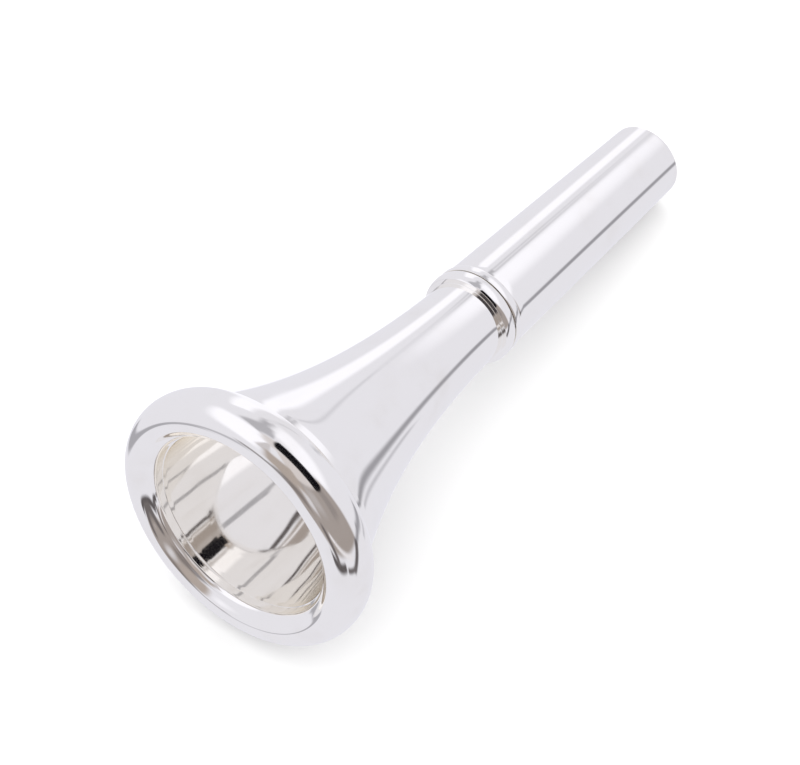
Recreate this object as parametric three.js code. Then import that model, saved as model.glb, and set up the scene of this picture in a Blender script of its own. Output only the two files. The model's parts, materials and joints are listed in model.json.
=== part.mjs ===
// French horn mouthpiece of silver-plated brass, in millimetres, with +Z up.
//
// Three turned pieces share one bore axis: a rim ring that screws onto the cup, the cup body,
// and a tapered shank that screws onto the cup body's tail. The mouthpiece lies on its side,
// as it does on a table: the rim's bead and the shank's end both touch the plane z = 0. The
// shank points along +Y, and the bore axis falls towards it by the lying angle.
//
// Every outline is drawn as (radius, station). The station runs along the bore axis, from 0 at
// the plane of the rim's crown to LENGTH at the end of the shank.

import * as THREE from 'three';

// Overall sizes
const LENGTH = 64.2;
const RIM_RADIUS = 12.5;
const TIP_RADIUS = 3.78;
const SHANK_TAPER = 1 / 19.9; // change of diameter along the shank's length
const FIT_GAP = 0.3; // between the faces of two pieces that screw together

// Rim: the bite is a small rounding at the mouth, and a slope rises from it to the crown, a narrow
// flat. On the outside the crown rounds over into the bead.
const CROWN_INNER = 10.35;
const CROWN_OUTER = 10.75;
const CROWN_HANDLE = 0.35;
const BITE_RADIUS = 8.95;
const BITE_ROUNDING = 0.75;
const BITE_STATION = 1.36;
const SLOPE_DEGREES = 30;
const SLOPE_HANDLE = 0.5;
const BEAD_WIDEST = 2.35;
const BEAD_ROOT = 10.35;
const RIM_BACK = 4.85;
const RIM_SHOULDER = 1.75;
const RIM_SHOULDER_RADIUS = 8.8;

// Cup: a thread at the front, a shoulder behind it, and a flare down to the neck
const CUP_THREAD_RADIUS = 9.9;
const CUP_MOUTH_RADIUS = 8.74;
const CUP_MOUTH_STATION = 2.2;
const SHOULDER_RADIUS = 10.2;
const SHOULDER_WIDTH = 0.2;
const FLARE_START = new THREE.Vector2(9.62, 6.4);
const FLARE_START_HANDLE = new THREE.Vector2(9.36, 8.6);
const FLARE_END_HANDLE = new THREE.Vector2(4.74, 14.94);
const NECK = new THREE.Vector2(4.05, 33.5);

// Bore: the funnel of the cup narrows to a straight throat, then opens again down the shank
const FUNNEL_MOUTH_HANDLE = new THREE.Vector2(7.53, 12.31);
const FUNNEL_THROAT_HANDLE = new THREE.Vector2(4.65, 10.15);
const THROAT_RADIUS = 2.42;
const THROAT_STATION = 30.5;
const BORE_END_RADIUS = 3.3;

// Collar: one bead on the cup body and a smaller one on the shank, with the joint between them
const COLLAR_FOOT = 4.3;
const COLLAR_FRONT = 33.95;
const COLLAR_BEAD_RADIUS = 4.68;
const COLLAR_SEAM = 35.3;
const SMALL_BEAD_RADIUS = 4.64;
const SMALL_BEAD_END = 36.5;

// Tail thread of the cup body and its socket in the shank
const TAIL_RADIUS = 3.3;
const TAIL_END = 39.7;
const TAIL_CHAMFER = 0.2;

const TIP_ROUNDING = 0.2;
const SEGMENTS = 48;

const SILVER = 0xe9e8e6;

function point(radius, station) {
  return new THREE.Vector2(radius, station);
}

// Part of an ellipse about (radius, station), between two angles in degrees: 0 degrees points
// away from the axis, and 90 degrees points towards the shank.
function arc(radius, station, radialReach, axialReach, startDegrees, endDegrees, steps) {
  const start = THREE.MathUtils.degToRad(startDegrees);
  const end = THREE.MathUtils.degToRad(endDegrees);
  const clockwise = end < start;
  const ellipse = new THREE.EllipseCurve(
    radius, station, radialReach, axialReach, start, end, clockwise,
  );
  return ellipse.getPoints(steps);
}

function bezier(start, startHandle, endHandle, end, steps) {
  return new THREE.CubicBezierCurve(start, startHandle, endHandle, end).getPoints(steps);
}

// A fillet from start to end that leaves along the line to corner and arrives from it.
function fillet(start, corner, end, steps) {
  return new THREE.QuadraticBezierCurve(start, corner, end).getPoints(steps);
}

// Outer radius of the shank's taper at a station.
function taperRadius(station) {
  return TIP_RADIUS + (LENGTH - station) * SHANK_TAPER / 2;
}

function rimOutline() {
  const threadWall = CUP_THREAD_RADIUS + FIT_GAP;
  const round = BITE_ROUNDING;
  const slope = THREE.MathUtils.degToRad(SLOPE_DEGREES);
  const bite = arc(BITE_RADIUS + round, BITE_STATION, round, round, 180, 270 - SLOPE_DEGREES, 4);
  const slopeStart = bite[bite.length - 1];
  const slopeHandle = point(
    slopeStart.x + SLOPE_HANDLE * Math.cos(slope),
    slopeStart.y - SLOPE_HANDLE * Math.sin(slope),
  );
  const crown = point(CROWN_INNER, 0);
  const crownHandle = point(CROWN_INNER - CROWN_HANDLE, 0);
  return [
    point(RIM_SHOULDER_RADIUS, RIM_SHOULDER),
    ...bite,
    ...bezier(slopeStart, slopeHandle, crownHandle, crown, 6),
    ...arc(CROWN_OUTER, BEAD_WIDEST, RIM_RADIUS - CROWN_OUTER, BEAD_WIDEST, -90, 0, 8),
    ...arc(BEAD_ROOT, BEAD_WIDEST, RIM_RADIUS - BEAD_ROOT, RIM_BACK - BEAD_WIDEST, 0, 90, 8),
    point(threadWall, RIM_BACK),
    point(threadWall, RIM_SHOULDER),
  ];
}

function cupOutline() {
  const front = RIM_SHOULDER + FIT_GAP;
  const shoulder = RIM_BACK + FIT_GAP;
  const lip = shoulder + SHOULDER_WIDTH;
  const beadStation = (COLLAR_FRONT + COLLAR_SEAM) / 2;
  const beadHalfWidth = (COLLAR_SEAM - COLLAR_FRONT) / 2;
  const beadHeight = COLLAR_BEAD_RADIUS - COLLAR_FOOT;
  return [
    point(CUP_MOUTH_RADIUS, front),
    point(CUP_THREAD_RADIUS, front),
    point(CUP_THREAD_RADIUS, shoulder),
    point(SHOULDER_RADIUS, shoulder),
    ...fillet(point(SHOULDER_RADIUS, lip), point(FLARE_START.x, lip), FLARE_START, 4),
    ...bezier(FLARE_START, FLARE_START_HANDLE, FLARE_END_HANDLE, NECK, 16),
    ...fillet(NECK, point(NECK.x, COLLAR_FRONT), point(COLLAR_FOOT, COLLAR_FRONT), 3),
    ...arc(COLLAR_FOOT, beadStation, beadHeight, beadHalfWidth, -90, 90, 8),
    point(TAIL_RADIUS, COLLAR_SEAM),
    point(TAIL_RADIUS, TAIL_END - TAIL_CHAMFER),
    point(TAIL_RADIUS - TAIL_CHAMFER, TAIL_END),
    point(THROAT_RADIUS, TAIL_END),
    ...bezier(
      point(THROAT_RADIUS, THROAT_STATION),
      FUNNEL_THROAT_HANDLE,
      FUNNEL_MOUTH_HANDLE,
      point(CUP_MOUTH_RADIUS, CUP_MOUTH_STATION),
      14,
    ),
  ];
}

function shankOutline() {
  const front = COLLAR_SEAM + FIT_GAP;
  const socketRadius = TAIL_RADIUS + FIT_GAP;
  const socketFloor = TAIL_END + FIT_GAP;
  const beadStation = (front + SMALL_BEAD_END) / 2;
  const beadHalfWidth = (SMALL_BEAD_END - front) / 2;
  const beadHeight = SMALL_BEAD_RADIUS - COLLAR_FOOT;
  const beadRootAngle = 50;
  const roundingStart = LENGTH - TIP_ROUNDING;
  const tipCorner = point(taperRadius(LENGTH), LENGTH);
  const faceEdge = point(TIP_RADIUS - TIP_ROUNDING, LENGTH);
  return [
    point(socketRadius, front),
    ...arc(COLLAR_FOOT, beadStation, beadHeight, beadHalfWidth, -90, beadRootAngle, 6),
    point(taperRadius(SMALL_BEAD_END), SMALL_BEAD_END),
    ...fillet(point(taperRadius(roundingStart), roundingStart), tipCorner, faceEdge, 3),
    point(BORE_END_RADIUS, LENGTH),
    point(THROAT_RADIUS, socketFloor),
    point(socketRadius, socketFloor),
  ];
}

// One turned piece: the outline closes on itself and goes round the axis. A flat of the turning
// faces each of the four sides, so that the mouthpiece has a narrow flat to lie on.
function turnedPiece(name, outline) {
  const separate = outline.filter((spot, i) => i === 0 || spot.distanceTo(outline[i - 1]) > 1e-6);
  const closed = [...separate, separate[0].clone()];
  const geometry = new THREE.LatheGeometry(closed, SEGMENTS, Math.PI / SEGMENTS);
  const material = new THREE.MeshStandardMaterial({ color: SILVER, roughness: 0.08, metalness: 1 });
  const piece = new THREE.Mesh(geometry, material);
  piece.name = name;
  return piece;
}

// The angle at which a straight surface touches both the bead and the end of the shank.
function lyingAngle() {
  const flatInset = Math.cos(Math.PI / SEGMENTS);
  return Math.atan2((RIM_RADIUS - TIP_RADIUS) * flatInset, LENGTH - BEAD_WIDEST);
}

const mouthpiece = new THREE.Group();
mouthpiece.add(turnedPiece('screw_rim', rimOutline()));
mouthpiece.add(turnedPiece('cup_body', cupOutline()));
mouthpiece.add(turnedPiece('shank', shankOutline()));

// The turning axis is the group's Y axis, so this tilts the shank's end down to the table.
mouthpiece.rotation.x = -lyingAngle();

// The origin is below the middle of the mouthpiece, on the plane that it lies on.
const extent = new THREE.Box3().setFromObject(mouthpiece, true);
const middle = extent.getCenter(new THREE.Vector3());
mouthpiece.position.set(-middle.x, -middle.y, -extent.min.z);

export default mouthpiece;
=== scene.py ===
"""Looks of a French horn mouthpiece: three turned, silver-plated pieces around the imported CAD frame.

Each piece is a fine turned surface that replaces its CAD solid: the same outline with rounded edges,
joints closed to a hairline and helical thread grooves. Outlines are (radius, station) in millimetres;
the station runs along the bore axis from 0 at the rim's crown plane to LENGTH at the end of the shank.
"""
import json
import math

import bpy
from mathutils import Matrix, Vector


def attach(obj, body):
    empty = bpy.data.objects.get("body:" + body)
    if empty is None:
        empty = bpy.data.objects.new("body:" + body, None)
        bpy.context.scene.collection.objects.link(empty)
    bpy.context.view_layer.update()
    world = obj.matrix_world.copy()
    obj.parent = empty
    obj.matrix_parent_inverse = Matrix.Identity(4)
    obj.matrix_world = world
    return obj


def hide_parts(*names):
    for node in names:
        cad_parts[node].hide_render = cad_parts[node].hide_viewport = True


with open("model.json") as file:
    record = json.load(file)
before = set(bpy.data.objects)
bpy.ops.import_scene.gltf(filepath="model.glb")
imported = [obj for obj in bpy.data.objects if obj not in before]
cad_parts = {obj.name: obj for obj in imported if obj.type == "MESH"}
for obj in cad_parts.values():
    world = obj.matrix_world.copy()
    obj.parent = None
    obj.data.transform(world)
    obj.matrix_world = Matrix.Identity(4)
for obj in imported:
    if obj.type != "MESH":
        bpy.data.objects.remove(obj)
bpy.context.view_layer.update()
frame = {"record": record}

MM = 0.001
SEGMENTS = 256  # round each turned surface

# Overall sizes, the same as the CAD solids'
LENGTH = 64.2
RIM_RADIUS = 12.5
TIP_RADIUS = 3.78
SHANK_TAPER = 1 / 19.9
SEAM = 0.04  # open width of a joint that is screwed tight
MOUTH_SEAM = 0.006  # the same where the rim meets the cup inside the mouth
MOUTH_EDGE = 0.006  # rounding of the two edges that meet there
SMALL_EDGE = 0.05  # rounding of an inner corner
FINE_EDGE = 0.08  # rounding of the lip behind the rim, and of the bore's end
EDGE = 0.1  # rounding of most other edges

# Rim
CROWN_INNER = 10.35
CROWN_OUTER = 10.75
CROWN_HANDLE = 0.35
BITE_RADIUS = 8.95
BITE_ROUNDING = 0.75
BITE_STATION = 1.36
SLOPE_DEGREES = 30
SLOPE_HANDLE = 0.5
BEAD_WIDEST = 2.35
BEAD_ROOT = 10.35
RIM_BACK = 4.95
RIM_SHOULDER = 1.85
RIM_SHOULDER_RADIUS = 8.8

# Cup
CUP_THREAD_RADIUS = 9.9
CUP_MOUTH_RADIUS = 8.74
CUP_MOUTH_STATION = 2.2
SHOULDER_RADIUS = 10.2
SHOULDER_WIDTH = 0.2
LIP_FILLET = 0.5  # from the lip behind the rim to the flare
THREAD_LEAD = 0.15  # rounding of the thread's front edge
FLARE_START = (9.62, 6.4)
FLARE_START_HANDLE = (9.36, 8.6)
FLARE_END_HANDLE = (4.74, 14.94)
NECK = (4.05, 33.5)

# Bore
FUNNEL_MOUTH_HANDLE = (7.53, 12.31)
FUNNEL_THROAT_HANDLE = (4.65, 10.15)
THROAT_RADIUS = 2.42
THROAT_STATION = 30.5
BORE_END_RADIUS = 3.3
BORE_MARGIN = 0.3  # the shank's cone is drawn from this far inside each end of its bore
BORE_FALL = 0.01  # how much the cone's radius changes over that margin
THROAT_MARGIN = 0.5  # the straight throat is drawn from this far inside each of its ends
RIPPLE_LENGTH = 3.6  # of the ripples in the wall of the cup
RIPPLE_DEPTH = 0.005
RIPPLE_END = 14  # station where they have faded out
RIPPLE_FADE = 6  # length over which they fade out

# Collar, tail and tip
COLLAR_FOOT = 4.3
COLLAR_FRONT = 33.95
COLLAR_BEAD_RADIUS = 4.68
COLLAR_BEAD_SLOPE = 23.5  # degrees, at both edges of the bead
BEAD_EDGE = 0.03  # rounding of those edges
NECK_FILLET = 0.05  # where the neck meets the steep front of the bead
COLLAR_SEAM = 35.4
SMALL_BEAD_RADIUS = 4.64
SMALL_BEAD_END = 36.5
SMALL_BEAD_START = -28  # degrees round the bead, whose front is cut away at the joint
SMALL_BEAD_FOOT = 68  # and where it meets the shallow groove before the taper
SMALL_BEAD_GROOVE = 0.2  # width of that groove
TAIL_RADIUS = 3.3
TAIL_END = 39.7
TAIL_LEAD = 0.25  # rounding of the tail's end
SOCKET_GAP = 0.3  # between the end of the tail and the floor of the shank's socket
TIP_ROUNDING = 0.2

# Threads
THREAD_PITCH = 0.8
THREAD_DEPTH = 0.38  # of the grooves in each of the two walls
THREAD_CLEARANCE = 0.05  # between the crests of the two threads of a joint
THREAD_MARGIN = 0.2  # from the mouth of a threaded wall to where its grooves may start
RUN_OUT = 0.7  # length over which a thread fades in or out
LONG_WALL = 20  # points: a threaded stretch with more than this has grooves, and a rounding has none

# Meshes
SAME_PLACE = 1e-4  # two rings nearer than this are one ring
SHARP_DEGREES = 38  # faces that meet at more than this have a sharp edge

# Silver plate
CLEAN_SILVER = (0.975, 0.96, 0.93)
TARNISHED_SILVER = (0.78, 0.73, 0.65)
POLISHING_RIPPLE = 2e-6  # metres, from hand polishing
CREASES = (4.97, 35.42)  # stations of the two joints
CREASE_REACH = 0.08  # to each side of a joint
CREASE_DULLNESS = 0.12  # on the same scale as the tarnish of a finish, below
CREASE_RADIUS = 4  # the bore and the tail, nearer the axis than this, have no creases
LATHE_LINES = (90, 90, 4200)  # how fast the noise changes across the bore axis and along it
SMUDGES = (240, 240, 240)
WEAR = (620, 620, 620)
SCRATCHES = (5200, 70, 160)
SCRATCH_TURN = (0.4, 0.3, 0.9)  # radians
SMUDGE_DULLNESS = 0.25
GRIME_ROUGHNESS = 0.16
LINE_ROUGHNESS = 0.03
SCRATCH_ROUGHNESS = 0.06

# The finishes of a turned surface: name, roughness, height of the lathe lines in metres, and how far
# the plate has tarnished all over, from 0 to 1
POLISHED, THREADED, BORE = range(3)
FINISHES = (
    ("polished_silver", 0.035, 0.3e-6, 0.0),
    ("threaded_silver", 0.2, 2e-6, 0.3),
    ("bore_silver", 0.1, 1.5e-6, 0.0),
)

REFLECTIONS = 24  # followed inside the cup, where light runs round the wall
PLAIN_LIGHT = 1.5  # strength of the soft white light on the floor
FLOOR_REACH = 3.0  # metres from the origin to each side
FLOOR_GREY = (0.92, 0.92, 0.92, 1)

# Camera: the photograph's viewing angle
CAMERA_AZIMUTH = 36.8
CAMERA_ELEVATION = 51.58
CAMERA_DISTANCE = 0.2347
CAMERA_LENS = 119.3
CAMERA_SENSOR = 36.0
AIM_STATION = 23.92
AIM_BELOW_AXIS = 0.17

mounts = {mount["name"]: mount for mount in frame["record"]["mounts"]}
bore_axis = Vector(mounts["receiver_taper"]["axis"]).normalized()
tip_centre = Vector(mounts["receiver_taper"]["pos_m"])
crown_centre = tip_centre - bore_axis * LENGTH * MM


# ---------------------------------------------------------------- outlines

def arc(radius, station, radial_reach, axial_reach, start, end, steps):
    """Part of an ellipse: 0 degrees points away from the axis, 90 degrees towards the shank."""
    points = []
    for i in range(steps + 1):
        angle = math.radians(start + (end - start) * i / steps)
        points.append((radius + radial_reach * math.cos(angle), station + axial_reach * math.sin(angle)))
    return points


def bezier(p0, p1, p2, p3, steps):
    """A cubic curve from p0 to p3, with p1 and p2 as its handles."""
    points = []
    for i in range(steps + 1):
        t = i / steps
        weights = ((1 - t) ** 3, 3 * t * (1 - t) ** 2, 3 * t * t * (1 - t), t ** 3)
        points.append(tuple(sum(w * p[k] for w, p in zip(weights, (p0, p1, p2, p3))) for k in range(2)))
    return points


def line(start, end, steps):
    return [tuple(a + (b - a) * i / steps for a, b in zip(start, end)) for i in range(steps + 1)]


def rounded(before, corner, after, size, steps=4):
    """A corner between two straight walls, rounded over size on each wall."""
    start = Vector(corner) + (Vector(before) - Vector(corner)).normalized() * size
    end = Vector(corner) + (Vector(after) - Vector(corner)).normalized() * size
    points = []
    for i in range(steps + 1):
        t = i / steps
        points.append(tuple(start * (1 - t) ** 2 + Vector(corner) * 2 * t * (1 - t) + end * t * t))
    return points


def smooth_step(value):
    value = min(1.0, max(0.0, value))
    return value * value * (3 - 2 * value)


def rippled(points):
    """The wall of the cup with the faint ripples that the lathe tool and polishing left in it."""
    ripples = []
    for radius, station in points:
        start = smooth_step((station - CUP_MOUTH_STATION) / RIPPLE_LENGTH)
        end = smooth_step((RIPPLE_END - station) / RIPPLE_FADE)
        wave = math.sin(2 * math.pi * station / RIPPLE_LENGTH)
        ripples.append((radius + RIPPLE_DEPTH * wave * start * end, station))
    return ripples


def taper_radius(station):
    """Outer radius of the shank."""
    return TIP_RADIUS + (LENGTH - station) * SHANK_TAPER / 2


def rim_outline():
    """Closed outline of the rim as (finish, points): bite, crown, bead, and back through the thread."""
    thread_wall = CUP_THREAD_RADIUS + THREAD_CLEARANCE
    back_corner = (thread_wall, RIM_BACK)
    front_corner = (thread_wall, RIM_SHOULDER)
    shoulder_corner = (RIM_SHOULDER_RADIUS, RIM_SHOULDER)
    bite_start = (BITE_RADIUS, BITE_STATION)
    bite_centre = BITE_RADIUS + BITE_ROUNDING
    bite = arc(bite_centre, BITE_STATION, BITE_ROUNDING, BITE_ROUNDING, 180, 270 - SLOPE_DEGREES, 16)
    slope = math.radians(SLOPE_DEGREES)
    slope_start = bite[-1]
    slope_handle = (slope_start[0] + SLOPE_HANDLE * math.cos(slope),
                    slope_start[1] - SLOPE_HANDLE * math.sin(slope))
    crown_handle = (CROWN_INNER - CROWN_HANDLE, 0)
    front = arc(CROWN_OUTER, BEAD_WIDEST, RIM_RADIUS - CROWN_OUTER, BEAD_WIDEST, -90, 0, 28)
    back = arc(BEAD_ROOT, BEAD_WIDEST, RIM_RADIUS - BEAD_ROOT, RIM_BACK - BEAD_WIDEST, 0, 88, 28)
    return [
        (POLISHED, rounded(front_corner, shoulder_corner, bite_start, MOUTH_EDGE)),
        (POLISHED, bite),
        (POLISHED, bezier(slope_start, slope_handle, crown_handle, (CROWN_INNER, 0), 24)),
        (POLISHED, line((CROWN_INNER, 0), (CROWN_OUTER, 0), 4)),
        (POLISHED, front),
        (POLISHED, back),
        (POLISHED, rounded((BEAD_ROOT, RIM_BACK), back_corner, front_corner, EDGE)),
        (THREADED, line((thread_wall, RIM_BACK - THREAD_MARGIN), (thread_wall, RIM_SHOULDER + EDGE), 56)),
        (POLISHED, rounded(back_corner, front_corner, shoulder_corner, SMALL_EDGE)),
    ]


def cup_outline():
    """Closed outline of the cup body: thread, lip, flare, collar, tail, and back through the bore."""
    front = RIM_SHOULDER + MOUTH_SEAM
    shoulder = RIM_BACK + SEAM
    lip = shoulder + SHOULDER_WIDTH
    bead_station = (COLLAR_FRONT + COLLAR_SEAM) / 2
    bead_half = (COLLAR_SEAM - COLLAR_FRONT) / 2
    bead_curve = bead_half / math.sin(math.radians(COLLAR_BEAD_SLOPE))
    bead_middle = COLLAR_BEAD_RADIUS - bead_curve
    bead = arc(bead_middle, bead_station, bead_curve, bead_curve, -COLLAR_BEAD_SLOPE, COLLAR_BEAD_SLOPE, 24)
    bead_foot = bead[0][0]
    neck_corner = (NECK[0], COLLAR_FRONT)
    mouth = (CUP_MOUTH_RADIUS, CUP_MOUTH_STATION)
    mouth_corner = (CUP_MOUTH_RADIUS, front)
    thread_front = (CUP_THREAD_RADIUS, front)
    thread_back = (CUP_THREAD_RADIUS, shoulder)
    lip_corner = (SHOULDER_RADIUS, shoulder)
    tail_top = (TAIL_RADIUS, COLLAR_SEAM)
    tail_corner = (TAIL_RADIUS, TAIL_END)
    throat_corner = (THROAT_RADIUS, TAIL_END)
    return [
        (POLISHED, rounded(mouth, mouth_corner, thread_front, MOUTH_EDGE)),
        (THREADED, rounded(mouth_corner, thread_front, thread_back, THREAD_LEAD)),
        (THREADED, line((CUP_THREAD_RADIUS, front + THREAD_MARGIN),
                        (CUP_THREAD_RADIUS, shoulder - SMALL_EDGE), 60)),
        (POLISHED, rounded(thread_back, lip_corner, (SHOULDER_RADIUS, lip), FINE_EDGE)),
        (POLISHED, rounded((SHOULDER_RADIUS, lip), (FLARE_START[0], lip), FLARE_START, LIP_FILLET, 12)),
        (POLISHED, bezier(FLARE_START, FLARE_START_HANDLE, FLARE_END_HANDLE, NECK, 110)),
        (POLISHED, line(NECK, (NECK[0], COLLAR_FRONT - NECK_FILLET), 8)),
        (POLISHED, rounded(NECK, neck_corner, bead[0], NECK_FILLET, 6)),
        (POLISHED, line((NECK[0] + NECK_FILLET, COLLAR_FRONT), (bead_foot - BEAD_EDGE, COLLAR_FRONT), 12)),
        (POLISHED, rounded(neck_corner, bead[0], bead[1], BEAD_EDGE, 6)),
        (POLISHED, bead[1:-1]),
        (POLISHED, rounded(bead[-2], bead[-1], tail_top, BEAD_EDGE, 6)),
        (POLISHED, line((bead_foot - EDGE, COLLAR_SEAM), (TAIL_RADIUS + SMALL_EDGE, COLLAR_SEAM), 3)),
        (THREADED, line((TAIL_RADIUS, COLLAR_SEAM + SEAM / 2),
                        (TAIL_RADIUS, TAIL_END - TAIL_LEAD - SMALL_EDGE), 80)),
        (THREADED, rounded(tail_top, tail_corner, throat_corner, TAIL_LEAD)),
        (BORE, rounded(tail_corner, throat_corner, (THROAT_RADIUS, THROAT_STATION), EDGE)),
        (BORE, line((THROAT_RADIUS, TAIL_END - THROAT_MARGIN),
                    (THROAT_RADIUS, THROAT_STATION + THROAT_MARGIN), 12)),
        (POLISHED, rippled(bezier((THROAT_RADIUS, THROAT_STATION), FUNNEL_THROAT_HANDLE,
                                  FUNNEL_MOUTH_HANDLE, mouth, 160))),
    ]


def shank_outline():
    """Closed outline of the shank: small bead, taper, tip, and back through the bore and the socket."""
    front = COLLAR_SEAM + SEAM
    socket = TAIL_RADIUS + THREAD_CLEARANCE
    socket_floor = TAIL_END + SOCKET_GAP
    bead_half = (SMALL_BEAD_END - front) / (1 - math.sin(math.radians(SMALL_BEAD_START)))
    bead_station = SMALL_BEAD_END - bead_half
    bead_height = SMALL_BEAD_RADIUS - COLLAR_FOOT
    bead = arc(COLLAR_FOOT, bead_station, bead_height, bead_half, SMALL_BEAD_START, SMALL_BEAD_FOOT, 24)
    taper_start = SMALL_BEAD_END + SMALL_BEAD_GROOVE
    taper_end = LENGTH - 2 * TIP_ROUNDING
    socket_mouth = (socket, front)
    floor_corner = (socket, socket_floor)
    throat_corner = (THROAT_RADIUS, socket_floor)
    bore_corner = (BORE_END_RADIUS, LENGTH)
    tip_corner = (taper_radius(LENGTH), LENGTH)
    taper_top = (taper_radius(taper_start), taper_start)
    return [
        (POLISHED, rounded(floor_corner, socket_mouth, (COLLAR_FOOT, front), EDGE)),
        (POLISHED, bead),
        (POLISHED, line(taper_top, (taper_radius(taper_end), taper_end), 60)),
        (POLISHED, rounded(taper_top, tip_corner, bore_corner, TIP_ROUNDING, 8)),
        (POLISHED, rounded(tip_corner, bore_corner, throat_corner, FINE_EDGE)),
        (BORE, line((BORE_END_RADIUS - BORE_FALL, LENGTH - BORE_MARGIN),
                    (THROAT_RADIUS + BORE_FALL, socket_floor + BORE_MARGIN), 50)),
        (BORE, rounded(bore_corner, throat_corner, floor_corner, SMALL_EDGE)),
        (THREADED, rounded(throat_corner, floor_corner, socket_mouth, SMALL_EDGE)),
        (THREADED, line((socket, socket_floor - EDGE), (socket, front + THREAD_MARGIN), 80)),
    ]


# ---------------------------------------------------------------- turned meshes

def add_object(name, data):
    """A new object, linked into the scene."""
    new_object = bpy.data.objects.new(name, data)
    bpy.context.scene.collection.objects.link(new_object)
    return new_object


def thread_cut(station, turn, start, end):
    """How far the thread reaches into the metal at a station and a share of a turn."""
    phase = (station / THREAD_PITCH - turn) % 1.0
    groove = 1 - abs(2 * phase - 1)
    fade = smooth_step((station - start) / RUN_OUT) * smooth_step((end - station) / RUN_OUT)
    return THREAD_DEPTH * groove * fade


def crease_dullness(finish, radius, station):
    """How dull the silver is in the hairline of a joint: CREASE_DULLNESS there, and 0 in the open."""
    nearest = min(abs(station - crease) for crease in CREASES)
    depth = smooth_step(1 - nearest / CREASE_REACH)
    return CREASE_DULLNESS * depth if finish == POLISHED and radius > CREASE_RADIUS else 0.0


def outline_rings(outline):
    """(finish, radius, station, ends of its thread) for each ring of points round the axis."""
    rings = []
    for finish, points in outline:
        grooved = finish == THREADED and len(points) > LONG_WALL
        ends = sorted((points[0][1], points[-1][1])) if grooved else None
        for radius, station in points:
            if not rings or math.dist((radius, station), rings[-1][1:3]) > SAME_PLACE:
                rings.append((finish, radius, station, ends))
    return rings


def turned_piece(name, outline, thread_side, body, node, finishes):
    """A closed surface of revolution about the piece's own Z axis, placed on the bore axis.

    thread_side is -1 where the thread is cut inwards from outside, and 1 where it is cut outwards.
    """
    rings = outline_rings(outline)
    vertices = []
    creases = []
    for finish, radius, station, ends in rings:
        for j in range(SEGMENTS):
            turn = j / SEGMENTS
            reach = radius + (thread_side * thread_cut(station, turn, *ends) if ends else 0.0)
            angle = 2 * math.pi * turn
            vertices.append((reach * math.cos(angle) * MM, reach * math.sin(angle) * MM, station * MM))
            creases.append(crease_dullness(finish, radius, station))
    faces = []
    slots = []
    for i, ring in enumerate(rings):
        here = i * SEGMENTS
        there = (i + 1) % len(rings) * SEGMENTS
        for j in range(SEGMENTS):
            k = (j + 1) % SEGMENTS
            faces.append((here + j, here + k, there + k, there + j))
            slots.append(ring[0])
    mesh = bpy.data.meshes.new(name)
    mesh.from_pydata(vertices, [], faces)
    for material in finishes:
        mesh.materials.append(material)
    mesh.polygons.foreach_set("material_index", slots)
    mesh.attributes.new("crease", "FLOAT", "POINT").data.foreach_set("value", creases)
    mesh.shade_smooth()
    mesh.set_sharp_from_angle(angle=math.radians(SHARP_DEGREES))
    mesh.update()
    piece = add_object(name, mesh)
    across = Vector((1, 0, 0))
    down = bore_axis.cross(across)
    turning = Matrix((across, down, bore_axis)).transposed().to_4x4()
    piece.matrix_world = Matrix.Translation(crown_centre) @ turning
    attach(piece, body)
    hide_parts(node)


# ---------------------------------------------------------------- node helpers

def calculate(tree, operation, *values):
    """The output of a Math node of numbers and sockets."""
    node = tree.nodes.new("ShaderNodeMath")
    node.operation = operation
    for socket, value in zip(node.inputs, values):
        if isinstance(value, (int, float)):
            socket.default_value = value
        else:
            tree.links.new(value, socket)
    return node.outputs[0]


def smooth_range(tree, value, low, high, to_low=0.0, to_high=1.0):
    """Maps low..high smoothly onto to_low..to_high."""
    node = tree.nodes.new("ShaderNodeMapRange")
    node.interpolation_type = "SMOOTHSTEP"
    for socket, number in zip(("From Min", "From Max", "To Min", "To Max"), (low, high, to_low, to_high)):
        node.inputs[socket].default_value = number
    tree.links.new(value, node.inputs["Value"])
    return node.outputs["Result"]


def mix_colours(tree, share, under, over, label):
    """Goes from under, a colour or a socket, to the colour over."""
    mix = tree.nodes.new("ShaderNodeMix")
    mix.data_type = "RGBA"
    mix.label = label
    tree.links.new(share, mix.inputs["Factor"])
    if isinstance(under, tuple):
        mix.inputs["A"].default_value = under
    else:
        tree.links.new(under, mix.inputs["A"])
    mix.inputs["B"].default_value = over
    return mix.outputs["Result"]


# ---------------------------------------------------------------- materials

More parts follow.
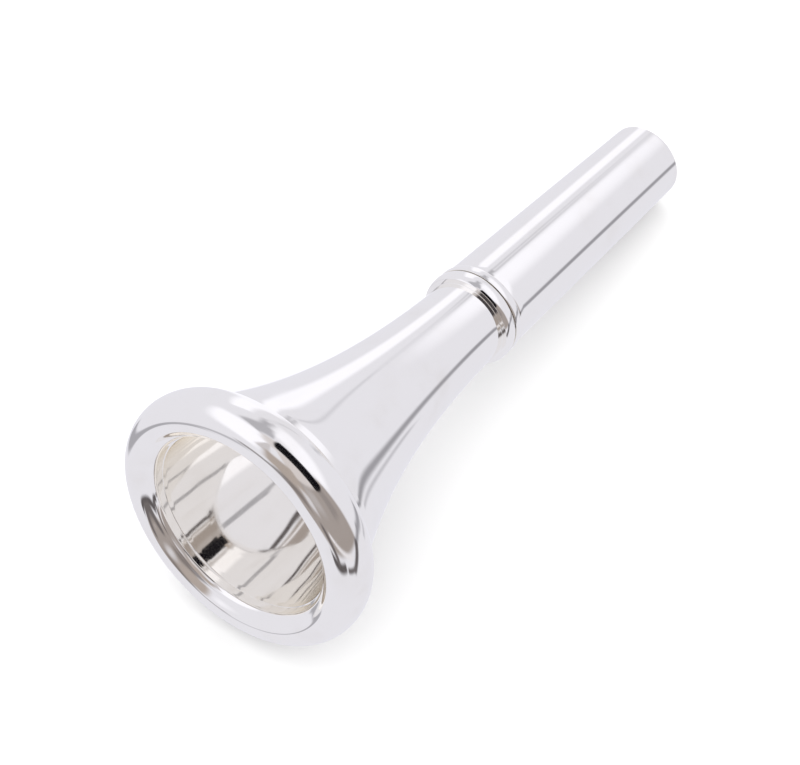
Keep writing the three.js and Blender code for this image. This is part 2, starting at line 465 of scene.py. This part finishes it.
def silver(name, roughness, line_height, dullness):
    """Silver plate with lathe lines round the axis, smudges, hairline scratches and dull creases."""
    material = bpy.data.materials.new(name)
    material.use_nodes = True
    tree = material.node_tree
    shader = tree.nodes["Principled BSDF"]
    shader.inputs["Metallic"].default_value = 1.0
    place = tree.nodes.new("ShaderNodeTexCoord").outputs["Object"]

    def noise(stretch, detail, turn=(0, 0, 0)):
        mapping = tree.nodes.new("ShaderNodeMapping")
        mapping.inputs["Scale"].default_value = stretch
        mapping.inputs["Rotation"].default_value = turn
        tree.links.new(place, mapping.inputs["Vector"])
        texture = tree.nodes.new("ShaderNodeTexNoise")
        texture.inputs["Scale"].default_value = 1.0
        texture.inputs["Detail"].default_value = detail
        tree.links.new(mapping.outputs[0], texture.inputs["Vector"])
        return texture.outputs["Fac"]

    def bump(height, distance, normal=None):
        node = tree.nodes.new("ShaderNodeBump")
        node.inputs["Strength"].default_value = 1.0
        node.inputs["Distance"].default_value = distance
        tree.links.new(height, node.inputs["Height"])
        if normal:
            tree.links.new(normal, node.inputs["Normal"])
        return node.outputs[0]

    lathe_lines = noise(LATHE_LINES, 3)
    smudges = noise(SMUDGES, 3)
    wear = noise(WEAR, 2)
    hairs = noise(SCRATCHES, 1, SCRATCH_TURN)
    crease = tree.nodes.new("ShaderNodeAttribute")
    crease.attribute_name = "crease"
    tarnish = smooth_range(tree, smudges, 0.45, 0.85, 0.0, dullness + SMUDGE_DULLNESS)
    dull = calculate(tree, "MAXIMUM", crease.outputs["Fac"], tarnish)
    grime = calculate(tree, "MULTIPLY", dull, smooth_range(tree, wear, 0.25, 0.75, 0.45, 1.0))
    fine_hairs = smooth_range(tree, hairs, 0.66, 0.72)
    scratches = calculate(tree, "MULTIPLY", fine_hairs, smooth_range(tree, wear, 0.4, 0.6))

    tint = mix_colours(tree, grime, (*CLEAN_SILVER, 1), (*TARNISHED_SILVER, 1), "tarnish")
    tree.links.new(tint, shader.inputs["Base Color"])
    rough = calculate(tree, "MULTIPLY_ADD", grime, GRIME_ROUGHNESS, roughness)
    rough = calculate(tree, "ADD", rough, smooth_range(tree, lathe_lines, 0.3, 0.7, 0.0, LINE_ROUGHNESS))
    rough = calculate(tree, "MULTIPLY_ADD", scratches, SCRATCH_ROUGHNESS, rough)
    tree.links.new(rough, shader.inputs["Roughness"])
    lines = bump(lathe_lines, line_height)
    tree.links.new(bump(smudges, POLISHING_RIPPLE, lines), shader.inputs["Normal"])
    return material


def make_pieces():
    finishes = [silver(*finish) for finish in FINISHES]
    turned_piece("rim_ring", rim_outline(), 1, "rim", "screw_rim", finishes)
    turned_piece("cup_and_flare", cup_outline(), -1, "cup", "cup_body", finishes)
    turned_piece("tapered_shank", shank_outline(), 1, "shank", "shank", finishes)


# ---------------------------------------------------------------- studio

# The light tent round the mouthpiece, as the polished silver reflects it. Azimuth 0 is +Y and 90 is
# +X, and angles are in degrees. A level is how bright a patch looks in the silver, 0 to 255, and its
# warmth is how far red goes above it and blue below. A patch is in every reflection, only in the
# first, only in the second, or only in a third or later one, deep in the cup.
EVERY, FIRST, SECOND, LATER = range(4)
TENT_LEVEL = 227
TENT_CAST = (1.0, -1.0, 4.0)  # of all the light, in red, green and blue levels
WARMTH_STEPS = (1.0, -0.1, -1.5)  # the same, for each step of warmth

# name: (azimuth, half width, elevation, half height, softness, level, warmth, reflection)
PANELS = {
    "top": (0, 180, 90, 11, 6, 208, 4, EVERY),
    "left_lamp": (-118, 46, 58, 22, 14, 254, 0, EVERY),
    "ceiling_gap": (-34, 29, 65, 11, 8, 178, 0, EVERY),
    "right_lamp": (25, 34, 48, 17, 15, 251, 0, EVERY),
    "back_floor": (-38, 14, -47, 8, 8, 249, 0, EVERY),
    "front_grey": (-170, 10, 66, 15, 8, 196, 3, EVERY),
    "room_top": (120, 34, 62, 18, 10, 204, 5, EVERY),
    "room": (121, 58, 19, 28, 7, 153, 7, EVERY),
    "room_post": (86, 9, 31, 12, 10, 138, 6, EVERY),
    "room_window": (128, 12, 34, 10, 14, 172, 5, EVERY),
    "room_near": (166, 22, 42, 16, 10, 164, 9, EVERY),
    "room_dark": (173, 12, 14, 8, 10, 122, 6, EVERY),
    "room_light": (149, 7, 24, 8, 9, 205, 2, EVERY),
    "camera": (136, 30, 54, 16, 3, 15, 0, LATER),
}

# Straight folds, seams and edges: (one end, other end, half width, softness, level, warmth,
# reflection), each end an azimuth and elevation
SEAMS = {
    "strip_lamp": ((-26, -10), (-38, 26), 7, 6, 254, 0, EVERY),
    "strip_foot": ((-26, -10), (-32, -42), 7, 6, 252, 0, EVERY),
    "strip_seam": ((-7, 2), (-19, 35), 1, 4, 204, 0, EVERY),
    "gap_foot": ((-18, 38), (-27, 58), 4, 7, 178, 0, EVERY),
    "gap_end": ((-14, 22), (-18, 38), 2, 5, 222, 0, EVERY),
    "black_cloth": ((82, 52), (63, 77), 10.5, 3, 12, 0, FIRST),
    "photographer": ((160, 59), (130, 35), 11, 8, 64, 2, SECOND),
    "back_seam": ((1, -2), (-12, -30), 1.5, 5, 196, 0, EVERY),
    "back_seam_low": ((-12, -30), (-32, -43), 1.5, 5, 190, 0, EVERY),
    "back_fold": ((18, -22), (46, -12), 3, 5, 156, 0, EVERY),
    "back_fold_low": ((15, -31), (32, -27), 1.5, 4, 190, 0, EVERY),
    "right_fold_back": ((46, -12), (68, -11), 2.5, 5, 150, 0, EVERY),
    "right_fold_dark": ((66, -12), (86, -24), 4, 5, 95, 3, EVERY),
    "right_fold": ((86, -24), (108, -21), 2.5, 4, 105, 3, EVERY),
    "right_fold_front": ((119, -18), (156, -18), 4, 5, 90, 3, EVERY),
    "front_fold": ((140, -13), (151, 0), 5, 6, 104, 4, EVERY),
    "bright_edge": ((90, -13), (138, 3), 2.5, 5, 226, 2, EVERY),
    "left_fold": ((-142, -26), (-85, -36), 5, 4, 168, 0, EVERY),
    "left_fold_front": ((-157, -2), (-142, -25), 3, 6, 178, 0, EVERY),
    "front_seam": ((-160, 8), (-179, 14), 4, 6, 140, 3, EVERY),
}


def light(level, warmth):
    """The light of a patch that looks like this level in the silver."""
    channels = []
    for cast, share, step in zip(TENT_CAST, CLEAN_SILVER, WARMTH_STEPS):
        value = (level + cast + step * warmth) / 255
        channels.append(((value + 0.055) / 1.055) ** 2.4 / share)  # sRGB to linear light
    return (*channels, 1)


def direction(azimuth, elevation):
    """The unit vector of a direction in the tent."""
    azimuth = math.radians(azimuth)
    elevation = math.radians(elevation)
    flat = math.cos(elevation)
    return Vector((math.sin(azimuth) * flat, math.cos(azimuth) * flat, math.sin(elevation)))


def make_world():
    world = bpy.data.worlds.new("light_tent")
    bpy.context.scene.world = world
    world.use_nodes = True
    tree = world.node_tree
    tree.nodes.clear()

    def inside(distance, half, softness):
        return smooth_range(tree, distance, half + softness / 2, half - softness / 2)

    def along(axis):
        node = tree.nodes.new("ShaderNodeVectorMath")
        node.operation = "DOT_PRODUCT"
        tree.links.new(looking, node.inputs[0])
        node.inputs[1].default_value = axis
        return node.outputs["Value"]

    def paint(under, mask, patch, look, when):
        if when in seen:
            mask = calculate(tree, "MULTIPLY", mask, seen[when])
        return mix_colours(tree, mask, under, light(*look), patch)

    looking = tree.nodes.new("ShaderNodeTexCoord").outputs["Generated"]
    parts = tree.nodes.new("ShaderNodeSeparateXYZ")
    tree.links.new(looking, parts.inputs[0])
    azimuth = calculate(tree, "DEGREES", calculate(tree, "ARCTAN2", parts.outputs["X"], parts.outputs["Y"]))
    elevation = calculate(tree, "DEGREES", calculate(tree, "ARCSINE", parts.outputs["Z"]))
    path = tree.nodes.new("ShaderNodeLightPath")
    # The world counts itself as one step of the path, so light from one reflection has depth 2.
    depth = path.outputs["Ray Depth"]
    seen = {
        FIRST: calculate(tree, "LESS_THAN", depth, 2.5),
        SECOND: calculate(tree, "COMPARE", depth, 3.0, 0.5),
        LATER: calculate(tree, "GREATER_THAN", depth, 3.5),
    }

    result = light(TENT_LEVEL, 0)
    for name, (middle, half, height, half_height, softness, level, warmth, when) in PANELS.items():
        offset = calculate(tree, "WRAP", calculate(tree, "SUBTRACT", azimuth, middle), 180.0, -180.0)
        sideways = inside(calculate(tree, "ABSOLUTE", offset), half, softness)
        rise = calculate(tree, "ABSOLUTE", calculate(tree, "SUBTRACT", elevation, height))
        mask = calculate(tree, "MULTIPLY", sideways, inside(rise, half_height, softness))
        result = paint(result, mask, name, (level, warmth), when)
    for name, (one_end, other_end, half, softness, level, warmth, when) in SEAMS.items():
        start = direction(*one_end)
        end = direction(*other_end)
        across = calculate(tree, "ARCSINE", along(start.cross(end).normalized()))
        off_middle = calculate(tree, "ARCCOSINE", along((start + end).normalized()))
        reach = math.degrees(start.angle(end)) / 2
        width_mask = inside(calculate(tree, "ABSOLUTE", calculate(tree, "DEGREES", across)), half, softness)
        length_mask = inside(calculate(tree, "DEGREES", off_middle), reach + half, softness)
        mask = calculate(tree, "MULTIPLY", width_mask, length_mask)
        result = paint(result, mask, name, (level, warmth), when)

    tent = tree.nodes.new("ShaderNodeBackground")
    tree.links.new(result, tent.inputs["Color"])
    plain = tree.nodes.new("ShaderNodeBackground")
    plain.inputs["Color"].default_value = (1, 1, 1, 1)
    plain.inputs["Strength"].default_value = PLAIN_LIGHT
    choose = tree.nodes.new("ShaderNodeMixShader")
    tree.links.new(path.outputs["Is Glossy Ray"], choose.inputs["Fac"])
    tree.links.new(plain.outputs[0], choose.inputs[1])
    tree.links.new(tent.outputs[0], choose.inputs[2])
    output = tree.nodes.new("ShaderNodeOutputWorld")
    tree.links.new(choose.outputs[0], output.inputs["Surface"])


def make_floor():
    mesh = bpy.data.meshes.new("floor")
    corners = [(x * FLOOR_REACH, y * FLOOR_REACH, 0) for x, y in ((-1, -1), (1, -1), (1, 1), (-1, 1))]
    mesh.from_pydata(corners, [], [(0, 1, 2, 3)])
    floor = add_object("floor", mesh)
    material = bpy.data.materials.new("pale_floor")
    material.use_nodes = True
    shader = material.node_tree.nodes["Principled BSDF"]
    shader.inputs["Base Color"].default_value = FLOOR_GREY
    shader.inputs["Roughness"].default_value = 0.9
    shader.inputs["Specular IOR Level"].default_value = 0.0
    mesh.materials.append(material)
    floor.visible_glossy = False


def make_camera():
    azimuth = math.radians(CAMERA_AZIMUTH)
    elevation = math.radians(CAMERA_ELEVATION)
    flat = math.cos(elevation)
    back = Vector((math.sin(azimuth) * flat, -math.cos(azimuth) * flat, math.sin(elevation)))
    turn = back.to_track_quat("Z", "Y")
    up = turn @ Vector((0, 1, 0))
    aim = crown_centre + bore_axis * AIM_STATION * MM - up * AIM_BELOW_AXIS * MM
    camera = add_object("camera", bpy.data.cameras.new("camera"))
    camera.data.lens = CAMERA_LENS
    camera.data.sensor_width = CAMERA_SENSOR
    camera.data.clip_start = 0.01
    camera.rotation_mode = "QUATERNION"
    camera.rotation_quaternion = turn
    camera.location = aim + back * CAMERA_DISTANCE
    bpy.context.scene.camera = camera


make_camera()
make_world()
make_floor()
make_pieces()
bpy.context.scene.view_settings.view_transform = "Standard"
bpy.context.scene.cycles.max_bounces = REFLECTIONS
bpy.context.scene.cycles.glossy_bounces = REFLECTIONS
